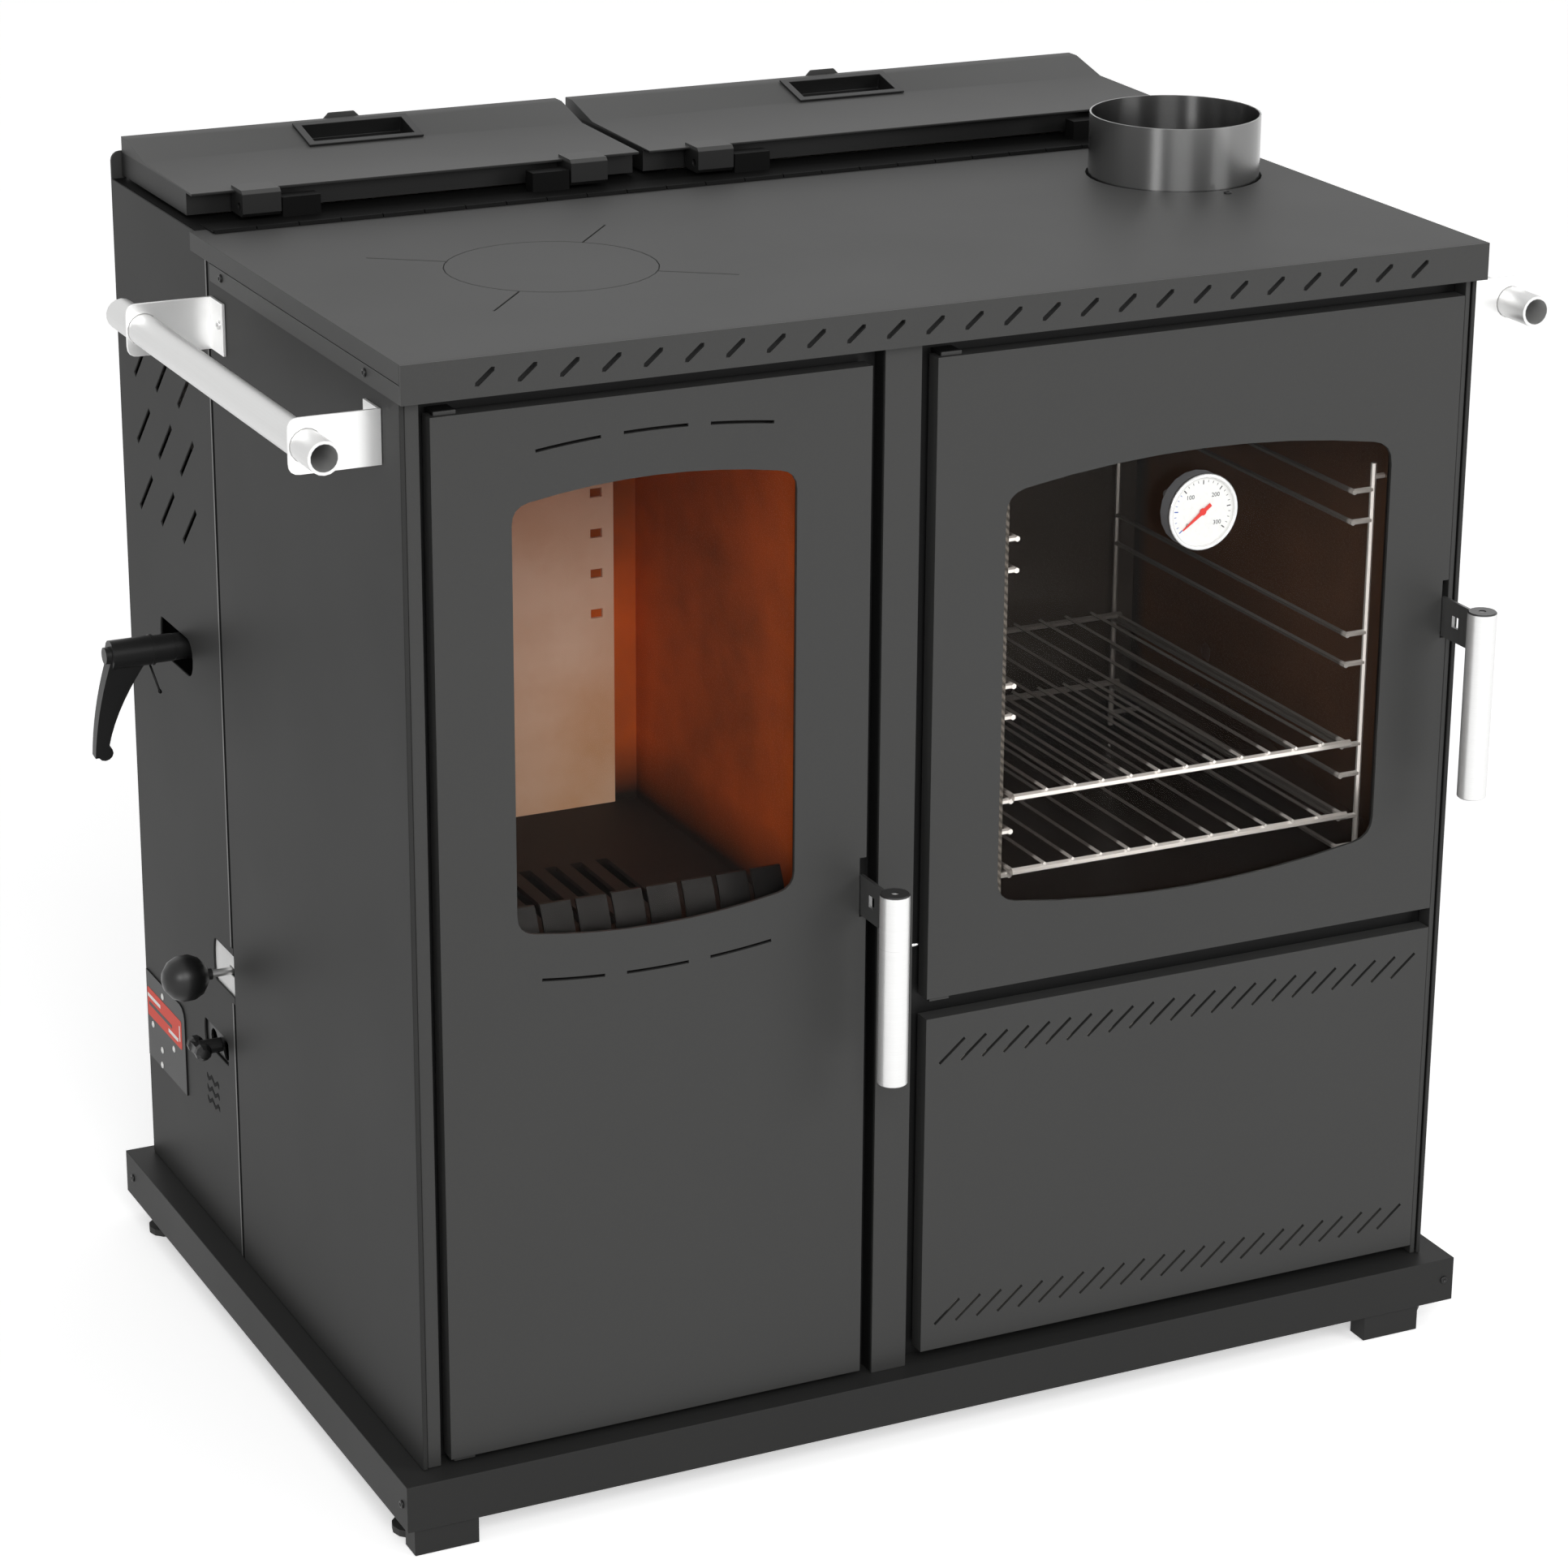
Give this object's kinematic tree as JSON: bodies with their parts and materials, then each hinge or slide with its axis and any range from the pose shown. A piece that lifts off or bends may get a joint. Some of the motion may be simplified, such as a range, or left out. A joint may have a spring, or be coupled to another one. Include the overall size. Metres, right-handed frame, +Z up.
{
  "type": "pellet and wood cooking stove",
  "caption": "Free-standing cooking stove that burns pellets or wood, with glazed fire and oven doors, drawer, side rails, hopper lids, hotplate and flue collar.",
  "frame": {"origin": "centre of the whole object's footprint, on the floor under the feet", "axes": "+X to the right seen from the front, +Y to the back, +Z up; the doors face -Y"},
  "size_m": [1.1042, 0.7674, 1.042],
  "materials": {
    "paint": "satin dark grey powder coat",
    "top_paint": "satin dark grey heat-proof paint",
    "brushed_steel": "fine brushed stainless steel",
    "polished_steel": "polished stainless steel",
    "tube_steel": "satin steel tube",
    "chromed_wire": "chromed wire",
    "cast_iron": "rough cast iron",
    "heat_steel": "heat-stained dark steel",
    "zinc_steel": "dull zinc-coated sheet",
    "enamel": "glossy dark enamel",
    "oven_glass": "slightly tinted heat-proof glass",
    "rope": "braided grey door rope",
    "black_plastic": "satin black moulding",
    "dial": "white dial in a bright case",
    "pointer_red": "red pointer"
  },
  "bodies": {
    "stove": {"plinth": "paint", "side_front_left": "paint", "side_front_right": "paint", "side_rear_left": "paint", "side_rear_right": "paint", "back_panel": "paint", "post_left": "paint", "post_right": "paint", "front_frame": "paint", "apron": "paint", "hopper_deck": "paint", "cooktop": "top_paint", "flue_collar": "brushed_steel", "rail_bracket_front_left": "polished_steel", "rail_bracket_front_right": "polished_steel", "rail_bracket_rear_left": "polished_steel", "rail_bracket_rear_right": "polished_steel", "rail_left": "tube_steel", "rail_right": "tube_steel", "oven_ladder_left": "chromed_wire", "oven_ladder_right": "chromed_wire", "oven_rack_upper": "chromed_wire", "oven_rack_lower": "chromed_wire", "log_guard": "cast_iron", "firebox_shell": "heat_steel", "firebox_back_plate": "zinc_steel", "ash_pan": "zinc_steel", "hopper_left": "zinc_steel", "hopper_right": "zinc_steel", "oven_box": "enamel", "foot_front_left": "black_plastic", "foot_front_right": "black_plastic", "foot_rear_left": "black_plastic", "foot_rear_right": "black_plastic"},
    "fire_door": {"fire_door_panel": "paint", "fire_door_glass": "oven_glass", "fire_door_inner_frame": "heat_steel", "fire_door_seal": "rope"},
    "fire_handle": {"fire_handle_plate": "brushed_steel", "fire_handle_grip": "polished_steel"},
    "oven_door": {"oven_door_panel": "paint", "oven_door_glass": "oven_glass", "oven_door_inner_frame": "heat_steel", "oven_door_seal": "rope", "thermometer_case": "dial"},
    "oven_handle": {"oven_handle_plate": "brushed_steel", "oven_handle_grip": "polished_steel"},
    "thermometer_needle": {"thermometer_pointer": "pointer_red"},
    "drawer": {"drawer_front": "paint", "drawer_box": "zinc_steel"},
    "lid_left": {"hopper_lid_left": "top_paint", "lid_grip_left": "black_plastic"},
    "lid_right": {"hopper_lid_right": "top_paint", "lid_grip_right": "black_plastic"},
    "hotplate": {"hotplate_disc": "top_paint"},
    "pellet_gate": {"gate_lever": "black_plastic", "gate_shaft": "heat_steel"},
    "shaker": {"shaker_knob": "black_plastic", "shaker_grate": "cast_iron"},
    "air_control": {"air_knob": "black_plastic"}
  },
  "joints": [
    {"name": "fire_door_hinge", "type": "hinge", "parent": "stove", "child": "fire_door", "pos_m": [-0.446, -0.30925, 0.071], "axis": [0, 0, -1], "range_deg": [0, 110]},
    {"name": "fire_handle_turn", "type": "hinge", "parent": "fire_door", "child": "fire_handle", "pos_m": [-0.088, -0.30825, 0.5025], "axis": [-1, 0, 0], "range_deg": [0, 20]},
    {"name": "oven_door_hinge", "type": "hinge", "parent": "stove", "child": "oven_door", "pos_m": [-0.0185, -0.30925, 0.399], "axis": [0, 0, -1], "range_deg": [0, 100]},
    {"name": "oven_handle_turn", "type": "hinge", "parent": "oven_door", "child": "oven_handle", "pos_m": [0.461, -0.30825, 0.6655], "axis": [-1, 0, 0], "range_deg": [0, 20]},
    {"name": "thermometer_needle_turn", "type": "hinge", "parent": "oven_door", "child": "thermometer_needle", "pos_m": [0.21325, -0.31425, 0.791], "axis": [0, 1, 0], "range_deg": [0, 286]},
    {"name": "drawer_slide", "type": "slide", "parent": "stove", "child": "drawer", "axis": [0, -1, 0], "range_m": [0, 0.42]},
    {"name": "lid_left_hinge", "type": "hinge", "parent": "stove", "child": "lid_left", "pos_m": [-0.2635, 0.17175, 1], "axis": [1, 0, 0], "range_deg": [0, 95]},
    {"name": "lid_right_hinge", "type": "hinge", "parent": "stove", "child": "lid_right", "pos_m": [0.2095, 0.17175, 1], "axis": [1, 0, 0], "range_deg": [0, 95]},
    {"name": "hotplate_lift", "type": "slide", "parent": "stove", "child": "hotplate", "axis": [0, 0, 1], "range_m": [0, 0.12]},
    {"name": "pellet_gate_turn", "type": "hinge", "parent": "stove", "child": "pellet_gate", "pos_m": [-0.477, 0.23675, 0.602], "axis": [1, 0, 0], "range_deg": [0, 90]},
    {"name": "shaker_slide", "type": "slide", "parent": "stove", "child": "shaker", "axis": [-1, 0, 0], "range_m": [0, 0.036]},
    {"name": "air_knob_turn", "type": "hinge", "parent": "stove", "child": "air_control", "pos_m": [-0.477, 0.16975, 0.251], "axis": [1, 0, 0], "range_deg": [-90, 0]}
  ]
}
